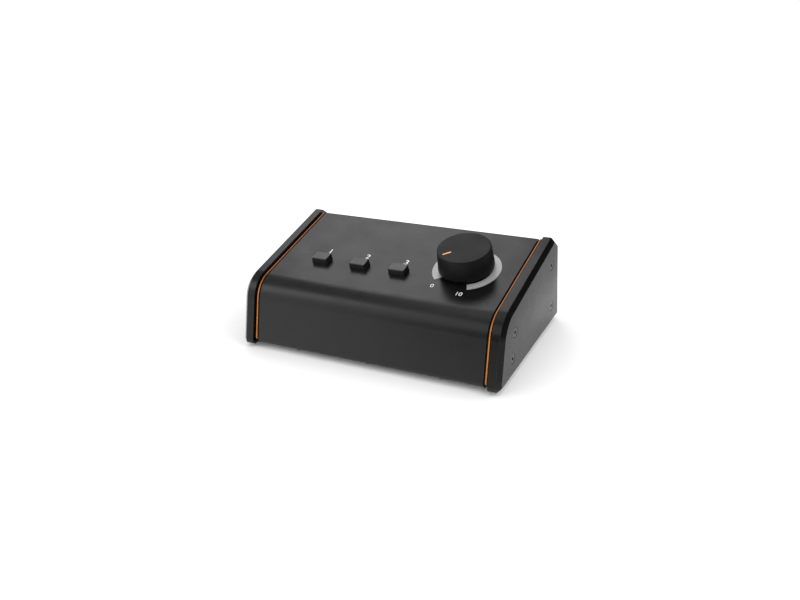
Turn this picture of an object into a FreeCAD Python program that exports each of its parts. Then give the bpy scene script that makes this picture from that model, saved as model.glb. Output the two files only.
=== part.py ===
import FreeCAD, Part
import os
import re
import Sketcher
from collections import namedtuple

# Studio monitor controller: a bent steel body between two thick end cheeks, with three
# push buttons and one large volume knob on its sloping top.
# Millimetres. X runs to the right, Y to the back and Z up. The origin is on the desk,
# under the middle of the case. Side views are drawn in Y and Z with Z counted from the
# underside of the cheeks, and the whole case is then lifted by its rubber feet.
# What stands on the sloping top is drawn in the top's own directions: across the case,
# up the slope from the knee, and out of the surface.

SIZES = (
    ("case_width", 160.0),
    ("case_depth", 95.25),
    ("knee_height", 37.0),
    ("knee_radius", 17.0),
    ("rake_angle", 16.5),
    ("slope_angle", 10.7),
    ("rear_bevel_run", 7.0),
    ("rear_bevel_angle", 40.0),
    ("cheek_thickness", 7.0),
    ("cheek_bevel", 2.4),
    ("cheek_corner_land", 0.2),
    ("foot_lift", 1.5),
    ("foot_radius", 6.0),
    ("foot_taper", 0.8),
    ("foot_edge", 24.0),
    ("foot_front_edge", 20.2),
    ("foot_rear_edge", 14.0),
    ("shell_inset", 1.5),
    ("rear_inset", 2.2),
    ("shell_bottom_gap", 1.2),
    ("sheet_thickness", 1.5),
    ("bend_radius", 0.6),
    ("front_flange_depth", 10.0),
    ("rear_lip_height", 8.0),
    ("pan_front_gap", 0.6),
    ("pan_top_gap", 1.0),
    ("fit_gap", 0.1),
    ("groove_width", 2.9),
    ("strip_width", 1.3),
    ("strip_depth", 1.5),
    ("strip_bed_depth", 2.7),
    ("strip_slot_depth", 1.5),
    ("strip_end_height", 2.8),
    ("strip_crown_radius", 0.5),
    ("strip_corner_radius", 1.6),
    ("spigot_depth", 2.0),
    ("bracket_thickness", 2.0),
    ("bracket_foot_width", 10.0),
    ("bracket_front_gap", 27.2),
    ("bracket_rear_gap", 14.0),
    ("bracket_screw_inset", 8.0),
    ("screw_radius", 1.45),
    ("thread_radius", 1.5),
    ("screw_hole_radius", 1.65),
    ("cheek_screw_length", 16.0),
    ("cheek_screw_head_radius", 2.75),
    ("cheek_screw_rim", 0.2),
    ("cheek_screw_recess", 0.1),
    ("rear_screw_edge", 13.5),
    ("rear_screw_top_z", 37.4),
    ("rear_screw_bottom_z", 12.0),
    ("front_screw_top_z", 24.9),
    ("front_screw_bottom_z", 11.4),
    ("front_screw_edge", 16.8),
    ("pan_screw_head_radius", 2.8),
    ("pan_screw_head_height", 1.6),
    ("pan_screw_head_round", 1.1),
    ("case_screw_length", 5.0),
    ("board_screw_length", 4.0),
    ("hex_socket", 2.0),
    ("hex_socket_depth", 1.1),
    ("nut_radius", 2.8),
    ("nut_height", 2.0),
    ("flange_screw_edge", 25.1),
    ("flange_screw_depth", 6.0),
    ("lip_screw_edge", 12.1),
    ("lip_screw_drop", 4.6),
    ("button_edge", 25.1),
    ("button_pitch", 25.0),
    ("button_row", 29.2),
    ("button_travel", 2.5),
    ("cap_width", 10.2),
    ("cap_depth", 6.8),
    ("cap_height", 3.5),
    ("cap_corner_radius", 0.8),
    ("cap_edge_radius", 0.4),
    ("cap_gap", 0.3),
    ("cap_flange", 1.0),
    ("cap_flange_gap", 0.3),
    ("cap_socket_top", 1.6),
    ("plunger_width", 3.0),
    ("plunger_gap", 0.2),
    ("plunger_fit", 0.05),
    ("switch_width", 8.5),
    ("switch_floor", 1.0),
    ("board_drop", 12.0),
    ("board_end_gap", 6.1),
    ("board_front", 12.0),
    ("board_rear_gap", 13.8),
    ("board_thickness", 1.6),
    ("board_screw_edge", 4.0),
    ("standoff_width", 5.5),
    ("standoff_thread_depth", 8.0),
    ("knob_edge", 28.3),
    ("knob_up", 40.3),
    ("knob_radius", 15.8),
    ("knob_top_radius", 15.0),
    ("knob_gap", 2.0),
    ("knob_height", 12.3),
    ("knob_edge_radius", 1.0),
    ("knob_wall", 2.0),
    ("knob_crown", 2.3),
    ("hub_radius", 5.5),
    ("hub_gap", 0.4),
    ("pointer_angle", 225.0),
    ("pointer_start", 7.7),
    ("pointer_end", 12.6),
    ("pointer_width", 0.9),
    ("pointer_depth", 0.4),
    ("pointer_proud", 0.05),
    ("knob_travel_angle", 293.0),
    ("arc_inner_radius", 14.8),
    ("arc_outer_radius", 19.3),
    ("arc_thickness", 0.3),
    ("shaft_radius", 3.0),
    ("shaft_running_gap", 0.05),
    ("shaft_press_gap", 0.03),
    ("shaft_flat", 1.5),
    ("shaft_top", 11.0),
    ("wiper_radius", 6.7),
    ("wiper_thickness", 2.0),
    ("wiper_spacing", 4.0),
    ("pot_width", 17.0),
    ("pot_cavity_radius", 7.2),
    ("pot_crown", 1.5),
    ("wafer_thickness", 1.2),
    ("bushing_radius", 4.5),
    ("bushing_out", 4.2),
    ("bushing_hole_gap", 0.25),
    ("washer_radius", 6.5),
    ("washer_thickness", 0.8),
    ("pot_nut_width", 12.0),
    ("pot_nut_height", 2.4),
    ("connector_board_end_gap", 4.1),
    ("connector_board_depth", 29.0),
    ("connector_board_gap", 0.3),
    ("connector_board_lift", 3.0),
    ("connector_screw_edge", 5.0),
    ("jack_first", 16.5),
    ("jack_board_edge", 8.0),
    ("jack_width", 15.5),
    ("jack_depth", 27.0),
    ("jack_axis_height", 7.75),
    ("jack_bore_radius", 3.25),
    ("jack_bore_floor", 2.5),
    ("jack_nose_radius", 6.0),
    ("jack_nose_out", 3.0),
    ("jack_nut_width", 14.0),
    ("jack_nut_height", 2.3),
    ("aux_width", 12.0),
    ("aux_depth", 14.0),
    ("aux_bore_radius", 1.8),
    ("aux_nose_radius", 3.0),
    ("aux_nut_width", 8.0),
    ("nose_hole_gap", 0.15),
    ("ribbon_width", 13.0),
    ("ribbon_thickness", 0.9),
    ("ribbon_bend_radius", 2.5),
    ("ribbon_run", 4.0),
    ("socket_width", 16.5),
    ("socket_depth", 8.0),
    ("socket_height", 9.0),
    ("socket_step", 27.7),
    ("lower_socket_depth", 4.5),
    ("resistor_count", 8),
    ("resistor_pitch", 6.0),
    ("resistor_board_edge", 12.0),
    ("resistor_radius", 1.15),
    ("resistor_length", 6.3),
    ("resistor_lead_radius", 0.3),
    ("resistor_span", 10.0),
    ("resistor_lift", 0.2),
)

doc = FreeCAD.newDocument("monitor_controller")
sheet = doc.addObject("Spreadsheet::Sheet", "Sizes")
for row, (alias, value) in enumerate(SIZES, start=1):
    sheet.set(f"A{row}", alias)
    sheet.set(f"B{row}", str(value))
    sheet.setAlias(f"B{row}", alias)
doc.recompute()

ALIASES = {alias for alias, value in SIZES}
Vector = FreeCAD.Vector
X_AXIS = Vector(1, 0, 0)
Y_AXIS = Vector(0, 1, 0)
Z_AXIS = Vector(0, 0, 1)
NEAR = 1e-3
pieces = []


def formula(text):
    """Points each size's name at its cell. Angles are kept in degrees."""
    def cell(found):
        word = found.group(0)
        if word not in ALIASES:
            return word
        if word.endswith("_angle"):
            return f"(Sizes.{word} * 1 deg)"
        return f"Sizes.{word}"
    return re.sub(r"[a-z][a-z_]*", cell, text)


def number(text):
    """The value of a formula now."""
    return float(sheet.evalExpression(formula(text)))


def bind(thing, setting, text):
    thing.setExpression(setting, formula(text))


# The case's side view

CHEEK_CORNER = "(cheek_bevel + cheek_corner_land)"
TOE_ROUND = f"({CHEEK_CORNER} * (1 / tan((90 deg - rake_angle) / 2) - 1))"
KNEE_Y = f"(-case_depth / 2 - {TOE_ROUND} + knee_height * tan(rake_angle))"
CREST_Y = "(case_depth / 2 - rear_bevel_run)"
CREST_Z = f"(knee_height + ({CREST_Y} - {KNEE_Y}) * tan(slope_angle))"


Corners = namedtuple("Corners", "toe knee crest rear heel")


def outline(inset, rear_inset, bottom):
    """Corners of the side view, moved in from the cheek's edge."""
    knee_share = f"({inset}) / (1 + sin(rake_angle + slope_angle))"
    knee_y = f"({KNEE_Y} + {knee_share} * (cos(rake_angle) + sin(slope_angle)))"
    knee_z = f"(knee_height - {knee_share} * (sin(rake_angle) + cos(slope_angle)))"
    crest_share = f"({inset}) / (1 + cos(slope_angle + rear_bevel_angle))"
    crest_y = f"({CREST_Y} + {crest_share} * (sin(slope_angle) - sin(rear_bevel_angle)))"
    crest_z = f"({CREST_Z} - {crest_share} * (cos(slope_angle) + cos(rear_bevel_angle)))"
    rear_y = f"(case_depth / 2 - ({rear_inset}))"
    rear_z = f"({crest_z} - ({rear_y} - {crest_y}) * tan(rear_bevel_angle))"
    toe_y = f"({knee_y} - ({knee_z} - ({bottom})) * tan(rake_angle))"
    return Corners(toe=(toe_y, bottom), knee=(knee_y, knee_z), crest=(crest_y, crest_z),
                   rear=(rear_y, rear_z), heel=(rear_y, bottom))


INNER_INSET = "(shell_inset + sheet_thickness)"
INNER_REAR_INSET = "(rear_inset + sheet_thickness)"
PLUG_INSET = f"({INNER_INSET} + fit_gap)"
PLUG_REAR_INSET = f"({INNER_REAR_INSET} + sheet_thickness + 2 * fit_gap)"
FLOOR_BOTTOM = "(shell_bottom_gap + sheet_thickness)"
FLOOR_TOP = f"({FLOOR_BOTTOM} + sheet_thickness)"
SHELL_OUTER = outline("shell_inset", "rear_inset", "shell_bottom_gap")
SHELL_INNER = outline(INNER_INSET, INNER_REAR_INSET, FLOOR_BOTTOM)
SHELL_HALF = "(case_width / 2 - cheek_thickness - groove_width)"
CHEEK_INNER = "(case_width / 2 - cheek_thickness)"
PANEL_Y, PANEL_Z = SHELL_OUTER.knee
PANEL_RUN = f"(({SHELL_OUTER.crest[0]} - {PANEL_Y}) / cos(slope_angle))"
REAR_PANEL_Y = f"(case_depth / 2 - {INNER_REAR_INSET} - fit_gap - sheet_thickness)"
KNOB_ACROSS = f"({SHELL_HALF} - knob_edge)"
LIP_SCREW_Z = f"({SHELL_OUTER.rear[1]} - lip_screw_drop)"
BRACKET_OUTER = f"({SHELL_HALF} - spigot_depth)"
BOARD_TOP = "(-sheet_thickness - board_drop)"
BOARD_HALF = f"({BRACKET_OUTER} - bracket_thickness - board_end_gap)"
BOARD_REAR = f"({PANEL_RUN} - board_rear_gap)"
CONNECTOR_BOARD_HALF = f"({BRACKET_OUTER} - bracket_foot_width - connector_board_end_gap)"
CONNECTOR_BOARD_REAR = f"({REAR_PANEL_Y} - connector_board_gap)"
CONNECTOR_BOARD_TOP = f"({FLOOR_TOP} + connector_board_lift + board_thickness)"
JACK_Z = f"({CONNECTOR_BOARD_TOP} + jack_axis_height)"


# Shared ways of drawing

def new_body(label):
    body = doc.addObject("PartDesign::Body", label)
    body.Label = label
    return body


def keep(piece):
    """Marks a finished object as one of the real pieces."""
    pieces.append(piece)
    return piece


def new_sketch(body, plane, offset="0"):
    """A sketch on one of the body's own planes, moved along the plane's normal."""
    sketch = body.newObject("Sketcher::SketchObject", "sketch")
    support = [feature for feature in body.Origin.OriginFeatures if feature.Role == plane][0]
    sketch.AttachmentSupport = [(support, "")]
    sketch.MapMode = "FlatFace"
    bind(sketch, "AttachmentOffset.Base.z", offset)
    return sketch


def panel_sketch(body):
    """A sketch on the sloping top of a body that is drawn in the case's own frame."""
    sketch = new_sketch(body, "XY_Plane", PANEL_Z)
    sketch.AttachmentOffset = FreeCAD.Placement(Vector(), FreeCAD.Rotation(X_AXIS, 1))
    bind(sketch, "AttachmentOffset.Base.y", PANEL_Y)
    bind(sketch, "AttachmentOffset.Rotation.Angle", "slope_angle")
    return sketch


def pin(sketch, geometry, point, place):
    """Ties one point of a sketch to a pair of formulas."""
    for kind, text in zip(("DistanceX", "DistanceY"), place):
        index = sketch.addConstraint(Sketcher.Constraint(kind, geometry, point, number(text)))
        sketch.setExpression(f"Constraints[{index}]", formula(text))


def draw(sketch, corners):
    """A closed outline with straight sides through the corners."""
    first = sketch.GeometryCount
    points = [Vector(number(x), number(y), 0) for x, y in corners]
    for start, end in zip(points, points[1:] + points[:1]):
        sketch.addGeometry(Part.LineSegment(start, end), False)
    for index, corner in enumerate(corners):
        following = (index + 1) % len(corners)
        sketch.addConstraint(Sketcher.Constraint("Coincident", first + index, 2, first + following, 1))
        pin(sketch, first + index, 1, corner)


def draw_rectangle(sketch, width, depth, middle=("0", "0")):
    sides = ((-1, -1), (1, -1), (1, 1), (-1, 1))
    corners = [(f"{middle[0]} + {across} * ({width}) / 2", f"{middle[1]} + {along} * ({depth}) / 2")
               for across, along in sides]
    draw(sketch, corners)


def draw_hexagon(sketch, across_flats, middle=("0", "0")):
    reach = f"({across_flats}) / 2 / cos(30 deg)"
    turns = [f"({60 * corner} deg)" for corner in range(6)]
    corners = [(f"{middle[0]} + {reach} * cos{turn}", f"{middle[1]} + {reach} * sin{turn}") for turn in turns]
    draw(sketch, corners)


def draw_circle(sketch, radius, middle=("0", "0")):
    centre = Vector(number(middle[0]), number(middle[1]), 0)
    circle = sketch.addGeometry(Part.Circle(centre, Z_AXIS, number(radius)), False)
    pin(sketch, circle, 3, middle)
    index = sketch.addConstraint(Sketcher.Constraint("Radius", circle, number(radius)))
    sketch.setExpression(f"Constraints[{index}]", formula(radius))


def pad(body, sketch, length, both_ways=False, backwards=False):
    feature = body.newObject("PartDesign::Pad", "pad")
    feature.Profile = sketch
    bind(feature, "Length", length)
    feature.SideType = "Symmetric" if both_ways else "One side"
    feature.Reversed = backwards
    doc.recompute()
    return feature


def cut(body, sketch, length, backwards=False):
    """A pocket, which must take material away."""
    before = body.Shape.Volume
    feature = body.newObject("PartDesign::Pocket", "pocket")
    feature.Profile = sketch
    bind(feature, "Length", length)
    feature.Reversed = backwards
    doc.recompute()
    if body.Shape.Volume > before - NEAR:
        raise RuntimeError(f"a pocket of {body.Label} cuts nothing")
    return feature


def turn(body, corners, sweep=None):
    """Turns a half section, drawn as radius and height, about the body's upright axis."""
    sketch = new_sketch(body, "XZ_Plane")
    draw(sketch, corners)
    feature = body.newObject("PartDesign::Revolution", "turned")
    feature.Profile = sketch
    feature.ReferenceAxis = (sketch, ["V_Axis"])
    feature.Angle = 360
    if sweep:
        bind(feature, "Angle", sweep)
    doc.recompute()
    return sketch


def ease_edges(body, kind, setting, amount, wanted):
    """Rounds or bevels the edges of the body so far that wanted picks."""
    base = body.Tip
    names = [f"Edge{index}" for index, edge in enumerate(base.Shape.Edges, start=1) if wanted(edge)]
    if not names:
        raise RuntimeError(f"{body.Label} has no edge to ease")
    feature = body.newObject(kind, "eased")
    feature.Base = (base, names)
    bind(feature, setting, amount)
    doc.recompute()
    return feature


def round_edges(body, radius, wanted):
    return ease_edges(body, "PartDesign::Fillet", "Radius", radius, wanted)


def bevel_edges(body, amount, wanted):
    return ease_edges(body, "PartDesign::Chamfer", "Size", amount, wanted)


def at_corner(*corners):
    """Picks the edges along X that stand on the given corners of the side view."""
    spots = [(number(y), number(z)) for y, z in corners]

    def wanted(edge):
        middle = edge.CenterOfMass
        return any(abs(middle.y - y) < NEAR and abs(middle.z - z) < NEAR for y, z in spots)
    return wanted


def upright(edge):
    """Picks straight edges along Z."""
    box = edge.BoundBox
    return box.XLength < NEAR and box.YLength < NEAR


def flat_at(height):
    """Picks edges that lie level at one height."""
    level = number(height)

    def wanted(edge):
        box = edge.BoundBox
        return abs(box.ZMin - level) < NEAR and abs(box.ZMax - level) < NEAR
    return wanted


def lift(piece):
    """Raises a case piece by the height of the feet."""
    bind(piece, "Placement.Base.z", "foot_lift")
    return piece


def stand_on_panel(piece, across="0", up="0", out="0"):
    """Stands a piece that is drawn on its own XY plane on the sloping top."""
    piece.Placement = FreeCAD.Placement(Vector(), FreeCAD.Rotation(X_AXIS, 1))
    bind(piece, "Placement.Rotation.Angle", "slope_angle")
    bind(piece, "Placement.Base.x", across)
    y = f"{PANEL_Y} + ({up}) * cos(slope_angle) - ({out}) * sin(slope_angle)"
    z = f"{PANEL_Z} + ({up}) * sin(slope_angle) + ({out}) * cos(slope_angle)"
    bind(piece, "Placement.Base.y", y)
    bind(piece, "Placement.Base.z", f"foot_lift + {z}")
    return piece


def panel_place(across="0", up="0", out="0", upside_down=False):
    """The same place as a fixed placement, for copies in a group."""
    slope = FreeCAD.Rotation(X_AXIS, number("slope_angle"))
    base = Vector(0, number(PANEL_Y), number(f"foot_lift + {PANEL_Z}"))
    spot = base + slope.multVec(Vector(number(across), number(up), number(out)))
    flip = FreeCAD.Rotation(X_AXIS, 180 if upside_down else 0)
    return FreeCAD.Placement(spot, slope * flip)


def facing(x, y, z, direction):
    """A placement in the case's frame that points a fastener's head along direction."""
    spot = Vector(number(x), number(y), number(f"foot_lift + {z}"))
    return FreeCAD.Placement(spot, FreeCAD.Rotation(Z_AXIS, direction))


def group(label, master, places):
    """One piece that holds a copy of the master solid at each place."""
    copies = []
    for place in places:
        copy = master.Shape.copy()
        copy.Placement = place
        copies.append(copy)
    feature = doc.addObject("Part::Feature", label)
    feature.Label = label
    feature.Shape = Part.makeCompound(copies)
    return keep(feature)


def mirrored(label, source):
    """The same piece for the left end of the case."""
    twin = doc.addObject("Part::Mirroring", label)
    twin.Label = label
    twin.Source = source
    twin.Base = Vector(0, 0, 0)
    twin.Normal = X_AXIS
    doc.recompute()
    return keep(twin)


def side_plate(body, inset, rear_inset, bottom, start, thickness):
    """A plate of the case's side view, from start along X."""
    corners = outline(inset, rear_inset, bottom)
    sketch = new_sketch(body, "YZ_Plane", start)
    draw(sketch, corners)
    pad(body, sketch, thickness)
    return corners


# Fasteners

def make_countersunk_screw():
    body = new_body("countersunk_screw")
    cone_end = "-cheek_screw_rim - cheek_screw_head_radius + screw_radius"
    turn(body, (("0", "0"), ("cheek_screw_head_radius", "0"),
                ("cheek_screw_head_radius", "-cheek_screw_rim"), ("screw_radius", cone_end),
                ("screw_radius", "-cheek_screw_length"), ("0", "-cheek_screw_length")))
    socket = new_sketch(body, "XY_Plane")
    draw_hexagon(socket, "hex_socket")
    cut(body, socket, "hex_socket_depth")
    return body


def make_pan_screw(name, length):
    body = new_body(name)
    end = f"-pan_screw_head_height - {length}"
    turn(body, (("0", "0"), ("pan_screw_head_radius", "0"),
                ("pan_screw_head_radius", "-pan_screw_head_height"),
                ("screw_radius", "-pan_screw_head_height"), ("screw_radius", end), ("0", end)))
    round_edges(body, "pan_screw_head_round", flat_at("0"))
    socket = new_sketch(body, "XY_Plane")
    draw_hexagon(socket, "hex_socket")
    cut(body, socket, "hex_socket_depth")
    return body


def make_ring(name, inner, outer, height):
    """A round nut or washer that stands on its XY plane."""
    body = new_body(name)
    sketch = new_sketch(body, "XY_Plane")
    draw_circle(sketch, outer)
    draw_circle(sketch, inner)
    pad(body, sketch, height)
    return body


def make_hex_ring(name, inner, across_flats, height, thread_depth=None):
    """A hexagonal nut or standoff that stands on its XY plane."""
    body = new_body(name)
    sketch = new_sketch(body, "XY_Plane")
    draw_hexagon(sketch, across_flats)
    pad(body, sketch, height)
    bore = new_sketch(body, "XY_Plane")
    draw_circle(bore, inner)
    cut(body, bore, thread_depth or height, backwards=True)
    return body


REAR_SCREW_Y = "(case_depth / 2 - rear_screw_edge)"
CHEEK_SCREW_SPOTS = [(REAR_SCREW_Y, z) for z in ("rear_screw_top_z", "rear_screw_bottom_z")]
CHEEK_SCREW_SPOTS += [(f"({outline('0', '0', z).toe[0]} + front_screw_edge)", z)
                      for z in ("front_screw_top_z", "front_screw_bottom_z")]
FLANGE_SCREW_Y = f"({SHELL_OUTER.toe[0]} + flange_screw_depth)"
FLANGE_SCREW_SPOTS = [(f"({side} * ({SHELL_HALF} - flange_screw_edge))", FLANGE_SCREW_Y) for side in (-1, 0, 1)]
BRACKET_FOOT_REAR = "(case_depth / 2 - bracket_rear_gap)"
BRACKET_FOOT_FRONT = "(-case_depth / 2 + bracket_front_gap)"
BRACKET_SCREW_X = f"({BRACKET_OUTER} - bracket_foot_width / 2)"
BRACKET_SCREW_YS = (f"({BRACKET_FOOT_FRONT} + bracket_screw_inset)",
                    f"({BRACKET_FOOT_REAR} - bracket_screw_inset)")
LIP_SCREW_XS = [f"({side} * ({SHELL_HALF} - lip_screw_edge))" for side in (-1, 1)]
JACK_XS = {
    "left_input_jack": f"(-{CONNECTOR_BOARD_HALF} + jack_board_edge)",
    "right_input_jack": "(-jack_first)",
    "left_output_jack": "(jack_first)",
    "right_output_jack": f"({CONNECTOR_BOARD_HALF} - jack_board_edge)",
}
CONNECTOR_SCREW_X = f"(jack_first + {CONNECTOR_BOARD_HALF} - jack_board_edge) / 2"
CONNECTOR_SCREW_SPOTS = [
    (f"({side} * {CONNECTOR_SCREW_X})", f"({CONNECTOR_BOARD_REAR} - {edge})")
    for side in (-1, 1)
    for edge in ("connector_screw_edge", "(connector_board_depth - connector_screw_edge)")
]
BOARD_SCREW_SPOTS = [
    (f"({side} * ({BOARD_HALF} - board_screw_edge))", up)
    for side in (-1, 1)
    for up in ("(board_front + board_screw_edge)", f"({BOARD_REAR} - board_screw_edge)")
]
BUTTONS = {
    name: f"(-{SHELL_HALF} + button_edge + {place} * button_pitch)"
    for place, name in enumerate(("left", "middle", "right"))
}


# Case

def make_top_shell():
    """Bent sheet: front flange, raked front, knee, sloping top, rear bevel and rear lip."""
    outer = SHELL_OUTER
    inner = SHELL_INNER
    flange_y = f"({outer.toe[0]} + front_flange_depth)"
    lip_z = f"({outer.rear[1]} - rear_lip_height)"
    body = new_body("top_shell")
    section = new_sketch(body, "YZ_Plane")
    draw(section, ((flange_y, outer.toe[1]), outer.toe, outer.knee, outer.crest, outer.rear,
                   (outer.rear[0], lip_z), (inner.rear[0], lip_z),
                   inner.rear, inner.crest, inner.knee, inner.toe, (flange_y, inner.toe[1])))
    pad(body, section, f"2 * {SHELL_HALF}", both_ways=True)
    round_edges(body, "knee_radius - shell_inset", at_corner(outer.knee))
    round_edges(body, f"knee_radius - {INNER_INSET}", at_corner(inner.knee))
    round_edges(body, "bend_radius", at_corner(inner.toe, inner.crest, inner.rear))
    round_edges(body, "bend_radius + sheet_thickness", at_corner(outer.toe, outer.crest, outer.rear))
    openings = panel_sketch(body)
    for across in BUTTONS.values():
        draw_rectangle(openings, "cap_width + 2 * cap_gap", "cap_depth + 2 * cap_gap", (across, "button_row"))
    cut(body, openings, "2 * sheet_thickness")
    thickness = number("sheet_thickness")
    slope = FreeCAD.Rotation(X_AXIS, number("slope_angle")).multVec(Z_AXIS)

    def cut_out_corner(edge):
        run = edge.Vertexes[-1].Point - edge.Vertexes[0].Point
        return abs(edge.Length - thickness) < NEAR and abs(abs(run.dot(slope)) - thickness) < NEAR
    round_edges(body, "cap_corner_radius + cap_gap", cut_out_corner)
    bushing_hole = panel_sketch(body)
    draw_circle(bushing_hole, "bushing_radius + bushing_hole_gap", (KNOB_ACROSS, "knob_up"))
    cut(body, bushing_hole, "2 * sheet_thickness")
    flange_holes = new_sketch(body, "XY_Plane", FLOOR_BOTTOM)
    for spot in FLANGE_SCREW_SPOTS:
        draw_circle(flange_holes, "screw_hole_radius", spot)
    cut(body, flange_holes, "2 * sheet_thickness")
    lip_holes = new_sketch(body, "XZ_Plane", f"-{inner.rear[0]}")
    for x in LIP_SCREW_XS:
        draw_circle(lip_holes, "screw_hole_radius", (x, LIP_SCREW_Z))
    cut(body, lip_holes, "2 * sheet_thickness")
    return keep(lift(body))


def make_base_pan():
    """Floor and rear panel, folded from one sheet."""
    front_y = f"({outline(INNER_INSET, '0', FLOOR_TOP).toe[0]} + pan_front_gap)"
    rear_y = f"({REAR_PANEL_Y} + sheet_thickness)"
    top_z = f"({SHELL_INNER.rear[1]} - pan_top_gap)"
    body = new_body("base_pan")
    section = new_sketch(body, "YZ_Plane")
    draw(section, ((front_y, FLOOR_BOTTOM), (rear_y, FLOOR_BOTTOM), (rear_y, top_z), (REAR_PANEL_Y, top_z),
                   (REAR_PANEL_Y, FLOOR_TOP), (front_y, FLOOR_TOP)))
    pad(body, section, f"2 * {SHELL_HALF}", both_ways=True)
    round_edges(body, "bend_radius + sheet_thickness", at_corner((rear_y, FLOOR_BOTTOM)))
    round_edges(body, "bend_radius", at_corner((REAR_PANEL_Y, FLOOR_TOP)))
    floor_holes = new_sketch(body, "XY_Plane", FLOOR_TOP)
    for spot in FLANGE_SCREW_SPOTS:
        draw_circle(floor_holes, "screw_hole_radius", spot)
    for side in (-1, 1):
        for y in BRACKET_SCREW_YS:
            draw_circle(floor_holes, "screw_hole_radius", (f"{side} * {BRACKET_SCREW_X}", y))
    cut(body, floor_holes, "2 * sheet_thickness")
    rear_holes = new_sketch(body, "XZ_Plane", f"-{REAR_PANEL_Y}")
    for x in JACK_XS.values():
        draw_circle(rear_holes, "jack_nose_radius + nose_hole_gap", (x, JACK_Z))
    draw_circle(rear_holes, "aux_nose_radius + nose_hole_gap", ("0", JACK_Z))
    for x in LIP_SCREW_XS:
        draw_circle(rear_holes, "screw_hole_radius", (x, LIP_SCREW_Z))
    cut(body, rear_holes, "2 * sheet_thickness")
    return keep(lift(body))


def make_cheek():
    """Thick end plate with a flat bevel round its outer face."""
    body = new_body("right_cheek")
    corners = side_plate(body, "0", "0", "0", CHEEK_INNER, "cheek_thickness")
    round_edges(body, "knee_radius", at_corner(corners.knee))
    sharp = (corners.toe, corners.crest, corners.rear, corners.heel)
    round_edges(body, CHEEK_CORNER, at_corner(*sharp))
    outer_x = number("case_width / 2")

    def on_outer_face(edge):
        box = edge.BoundBox
        return abs(box.XMin - outer_x) < NEAR and abs(box.XMax - outer_x) < NEAR
    bevel_edges(body, "cheek_bevel", on_outer_face)
    spots = new_sketch(body, "YZ_Plane", "case_width / 2")
    for spot in CHEEK_SCREW_SPOTS:
        draw_circle(spots, "screw_hole_radius", spot)
    doc.recompute()
    before = body.Shape.Volume
    holes = body.newObject("PartDesign::Hole", "screw_holes")
    holes.Profile = spots
    holes.DepthType = "ThroughAll"
    bind(holes, "Diameter", "2 * screw_hole_radius")
    holes.HoleCutType = "Countersink"
    holes.HoleCutCountersinkAngle = 90
    mouth = "cheek_screw_head_radius + cheek_screw_rim + cheek_screw_recess + fit_gap"
    bind(holes, "HoleCutDiameter", f"2 * ({mouth})")
    doc.recompute()
    if body.Shape.Volume > before - NEAR:
        raise RuntimeError("the cheek's screw holes cut nothing")
    return keep(lift(body))


def make_spacer():
    """Moulding that plugs the body's end, with a slot round its edge for the strip."""
    body = new_body("right_spacer")
    wall = "((groove_width - strip_width) / 2 - plunger_fit)"
    bed = "strip_bed_depth"
    slot = "(strip_bed_depth + strip_slot_depth)"
    plug = side_plate(body, PLUG_INSET, PLUG_REAR_INSET, f"({FLOOR_TOP} + fit_gap)",
                      BRACKET_OUTER, "spigot_depth")
    lip = side_plate(body, bed, bed, "shell_bottom_gap", SHELL_HALF, wall)
    slot_floor = side_plate(body, slot, slot, "shell_bottom_gap",
                            f"{SHELL_HALF} + {wall}", f"groove_width - 2 * {wall}")
    side_plate(body, bed, bed, "shell_bottom_gap", f"{CHEEK_INNER} - {wall}", wall)
    round_edges(body, f"knee_radius - {PLUG_INSET}", at_corner(plug.knee))
    round_edges(body, f"knee_radius - {bed}", at_corner(lip.knee))
    round_edges(body, f"knee_radius - {slot}", at_corner(slot_floor.knee))
    holes = new_sketch(body, "YZ_Plane", BRACKET_OUTER)
    for spot in CHEEK_SCREW_SPOTS:
        draw_circle(holes, "screw_hole_radius", spot)
    cut(body, holes, "spigot_depth + 2 * groove_width", backwards=True)
    return keep(lift(body))


def make_accent_strip():
    """Strip round the edge of the case, standing in the spacer's slot, with a rounded crown."""
    body = new_body("right_accent_strip")
    root_inset = "(strip_bed_depth + strip_slot_depth - plunger_fit)"
    crown = outline("strip_depth", "strip_depth", "strip_end_height")
    root = outline(root_inset, root_inset, "strip_end_height")
    sketch = new_sketch(body, "YZ_Plane", f"{SHELL_HALF} + (groove_width - strip_width) / 2")
    draw(sketch, crown + root[::-1])
    pad(body, sketch, "strip_width")
    round_edges(body, "knee_radius - strip_depth", at_corner(crown.knee))
    round_edges(body, f"knee_radius - {root_inset}", at_corner(root.knee))
    round_edges(body, "strip_corner_radius", at_corner(crown.toe, crown.crest, crown.rear, crown.heel))
    sides = [number(f"{SHELL_HALF} + (groove_width {sign} strip_width) / 2") for sign in ("-", "+")]
    knee, crest, rear, heel = [(number(y), number(z)) for y, z in root[1:]]
    crown_gap = number("strip_bed_depth - strip_depth") / 2
    leans = ("rake_angle", "slope_angle", "rear_bevel_angle")
    front_lean, slope, rear_fall = [number(f"tan({lean})") for lean in leans]

    def on_crown(edge):
        """Long edges of the two flanks that belong to the crown and not to the root."""
        box = edge.BoundBox
        if not any(abs(box.XMin - side) < NEAR and abs(box.XMax - side) < NEAR for side in sides):
            return False
        middle = edge.valueAt((edge.FirstParameter + edge.LastParameter) / 2)
        ahead = middle.y < knee[0] - (knee[1] - middle.z) * front_lean - crown_gap
        above = middle.z > knee[1] + (middle.y - knee[0]) * slope + crown_gap
        behind = middle.y > heel[0] + crown_gap
        on_bevel = middle.y > crest[0] and middle.z > rear[1] + (rear[0] - middle.y) * rear_fall + crown_gap
        return ahead or above or behind or on_bevel
    round_edges(body, "strip_crown_radius", on_crown)
    return keep(lift(body))


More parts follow.
